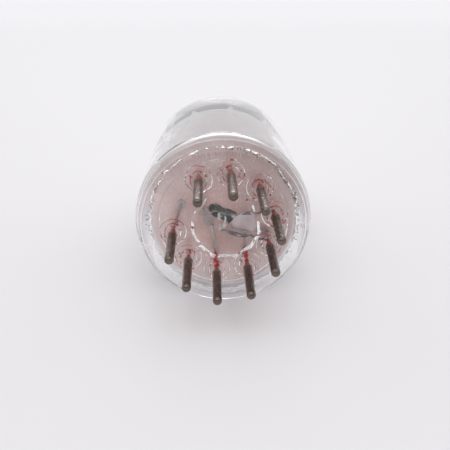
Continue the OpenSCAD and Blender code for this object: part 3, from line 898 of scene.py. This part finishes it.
def build_film():
    """The getter film, just clear of the dome's inner face."""
    gap, thin = 0.05, 0.02
    wall_r = BULB_R - WALL - gap

    def face(t):
        rows = line((wall_r - t, FILM_Y - 0.3), (wall_r - t, SHOULDER_Y), 16)
        rows += arc(SHOULDER, SHOULDER_R - WALL - gap - t, 0, SHOULDER_TURN, SHOULDER_STEPS)[1:]
        rows += arc((0, DOME_Y), DOME_R - WALL - gap - t, SHOULDER_TURN, DOME_TURN + 4,
                    DOME_STEPS)[1:]
        return rows
    loop = face(0.0) + face(thin)[::-1]
    sides = 144
    vertices = [place(r, 360 * j / sides, y) for r, y in loop for j in range(sides)]
    faces = []
    for i in range(len(loop)):
        a, b = i * sides, (i + 1) % len(loop) * sides
        faces += [(a + j, b + j, b + (j + 1) % sides, a + (j + 1) % sides) for j in range(sides)]
    add_piece("getter_mirror", vertices, faces, FILM, ["getter_film"])


def paint(material, *names):
    """Gives a carried-over CAD node its material."""
    for name in names:
        data = nodes[name].data
        for i in range(len(data.materials)):
            data.materials[i] = material
        if not data.materials:
            data.materials.append(material)


def paint_electrodes():
    paint(MICA, "lower_mica")
    paint(SPRAYED_MICA, "upper_mica")
    paint(SHIELD, "shield_disc", "lead_9", "cathode_tab")
    paint(DARK_NICKEL, "lead_4", "lead_5")
    paint(TAB_METAL, "grid_tab")
    paint(NICKEL, *[f"lead_{k}" for k in (1, 2, 3, 6, 7, 8)], "cathode_sleeve",
          "heater_clip_upper", "heater_clip_lower", "grid_straps", "anode_rod_left",
          "anode_rod_right", "getter_ring", "getter_post")
    paint(GRID_ROD, "grid_rod_left", "grid_rod_right")
    paint(GOLD, "grid_winding")
    paint(OXIDE, "cathode_coating")
    paint(ALUMINA, "heater")


# ---- Stage ---------------------------------------------------------------------------

# The camera in millimetres and degrees, and the floor and panel in metres.
CAMERA_AT = Vector((-1.37, -66.13, 26.22))
CAMERA_DOWN, CAMERA_TURN = 21.42, -1.3
CAMERA_LENS = 50.2
FLOOR_HALF = 2.5
PANEL_AT = Vector((0, 0.38, 0.25))
PANEL_SIZE = (0.6, 0.22)
SUN_FROM = Vector((-0.1, -0.55, 1.0))
SUN_SPREAD = 70
SUN_STRENGTH, PANEL_STRENGTH, WORLD_STRENGTH = 0.85, 2.6, 0.78
BACKDROP = (0.9, 0.89, 0.92, 1)


def build_camera():
    camera = bpy.data.objects.new("camera", bpy.data.cameras.new("camera"))
    camera.data.lens = CAMERA_LENS
    camera.data.sensor_width = 36
    camera.data.clip_start = 0.005
    camera.data.clip_end = 20
    camera.location = CAMERA_AT * MM
    camera.rotation_euler = (math.radians(90 - CAMERA_DOWN), 0, math.radians(CAMERA_TURN))
    bpy.context.scene.collection.objects.link(camera)
    bpy.context.scene.camera = camera


def build_world():
    """Bright above and behind, and dark behind the camera, as in a white tent with one open side.

    The camera itself sees a plain pale backdrop.
    """
    world = bpy.data.worlds.new("studio")
    bpy.context.scene.world = world
    world.use_nodes = True
    tree = world.node_tree
    axes = tree.nodes.new("ShaderNodeSeparateXYZ")
    tree.links.new(tree.nodes.new("ShaderNodeTexCoord").outputs["Generated"], axes.inputs[0])
    tilt = tree.nodes.new("ShaderNodeMath")
    tilt.operation = "MULTIPLY_ADD"
    tree.links.new(axes.outputs["Z"], tilt.inputs[0])
    tilt.inputs[1].default_value = 0.9
    tree.links.new(axes.outputs["Y"], tilt.inputs[2])
    ramp = tree.nodes.new("ShaderNodeValToRGB")
    ramp.color_ramp.interpolation = "EASE"
    for element, (at, value) in zip(ramp.color_ramp.elements, ((0.0, 0.2), (0.6, 1.0))):
        element.position = at
        element.color = (value, value, value * 1.01, 1)
    shift = tree.nodes.new("ShaderNodeMath")
    shift.inputs[1].default_value = 0.66
    tree.links.new(tilt.outputs[0], shift.inputs[0])
    tree.links.new(shift.outputs[0], ramp.inputs[0])
    light = tree.nodes["Background"]
    tree.links.new(ramp.outputs[0], light.inputs[0])
    light.inputs[1].default_value = WORLD_STRENGTH
    backdrop = tree.nodes.new("ShaderNodeBackground")
    backdrop.inputs[0].default_value = BACKDROP
    seen = tree.nodes.new("ShaderNodeMixShader")
    tree.links.new(tree.nodes.new("ShaderNodeLightPath").outputs["Is Camera Ray"], seen.inputs[0])
    tree.links.new(light.outputs[0], seen.inputs[1])
    tree.links.new(backdrop.outputs[0], seen.inputs[2])
    tree.links.new(seen.outputs[0], tree.nodes["World Output"].inputs[0])


def soft_edge(tree, across, fade=None):
    """Strength that falls to nothing at both ends of across, times an earlier fade."""
    ramp = tree.nodes.new("ShaderNodeValToRGB")
    ramp.color_ramp.interpolation = "EASE"
    ramp.color_ramp.elements[0].color = (0, 0, 0, 1)
    ramp.color_ramp.elements[1].color = (0, 0, 0, 1)
    middle = ramp.color_ramp.elements.new(0.5)
    middle.color = (1, 1, 1, 1)
    tree.links.new(across, ramp.inputs[0])
    if fade is None:
        return ramp.outputs[0]
    both = tree.nodes.new("ShaderNodeMath")
    both.operation = "MULTIPLY"
    tree.links.new(ramp.outputs[0], both.inputs[0])
    tree.links.new(fade, both.inputs[1])
    return both.outputs[0]


def build_floor():
    """A pale floor that the bulb lies on, a little darker under the camera than far away: painted
    falloff of light.
    """
    corners = [(x * FLOOR_HALF, y * FLOOR_HALF, CAD_BOX[0].z)
               for x, y in ((-1, -1), (1, -1), (1, 1), (-1, 1))]
    mesh = bpy.data.meshes.new("floor")
    mesh.from_pydata(corners, [], [(0, 1, 2, 3)])
    floor = bpy.data.objects.new("floor", mesh)
    bpy.context.scene.collection.objects.link(floor)
    m = Nodes("pale_floor")
    bsdf = m.add("ShaderNodeBsdfPrincipled", Roughness=0.6)
    axis = m.add("ShaderNodeSeparateXYZ")
    m.link(m.position(), axis.inputs[0])
    # Painted shade: the colour darkens towards a line under the camera and pales with distance both
    # ways.
    from_front = m.math("ABSOLUTE", m.math("ADD", axis.outputs["Y"], 0.06))
    shade = m.ramp(m.span(from_front, 0.0, 1.0, 0.0, 0.66),
                   [(0.0, (0.84, 0.825, 0.84)), (1.0, (0.95, 0.935, 0.96))])
    m.link(shade, bsdf.inputs["Base Color"])
    bsdf.inputs["Specular IOR Level"].default_value = 0.2
    m.link(bsdf.outputs[0], m.out.inputs[0])
    mesh.materials.append(m.mat)


def build_lights():
    """A broad light from above and a soft panel behind, which the gloss shows."""
    sun = bpy.data.lights.new("overhead_light", "SUN")
    sun.energy = SUN_STRENGTH
    sun.angle = math.radians(SUN_SPREAD)
    lamp = bpy.data.objects.new("overhead_light", sun)
    lamp.rotation_euler = SUN_FROM.to_track_quat("Z", "Y").to_euler()
    bpy.context.scene.collection.objects.link(lamp)
    strip = bpy.data.lights.new("back_strip", "AREA")
    strip.shape = "RECTANGLE"
    strip.size, strip.size_y = PANEL_SIZE
    strip.energy = PANEL_STRENGTH
    strip.use_nodes = True
    tree = strip.node_tree
    sides = tree.nodes.new("ShaderNodeSeparateXYZ")
    tree.links.new(tree.nodes.new("ShaderNodeNewGeometry").outputs["Parametric"], sides.inputs[0])
    fade = soft_edge(tree, sides.outputs["X"], soft_edge(tree, sides.outputs["Y"]))
    tree.links.new(fade, tree.nodes["Emission"].inputs["Strength"])
    panel = bpy.data.objects.new("back_strip", strip)
    panel.location = PANEL_AT
    panel.rotation_euler = PANEL_AT.to_track_quat("Z", "Y").to_euler()
    panel.visible_diffuse = False
    bpy.context.scene.collection.objects.link(panel)


def set_light_paths():
    """Enough bounces for light to pass through every layer of glass."""
    scene = bpy.context.scene
    scene.view_settings.view_transform = "Standard"
    scene.cycles.max_bounces = 48
    scene.cycles.glossy_bounces = 40
    scene.cycles.transmission_bounces = 40
    scene.cycles.transparent_max_bounces = 48
    scene.cycles.use_denoising = True


build_camera()
build_floor()
build_world()
build_lights()
set_light_paths()
build_envelope()
build_pins()
build_seal_wires()
build_seal_grit()
build_anode()
build_film()
paint_electrodes()
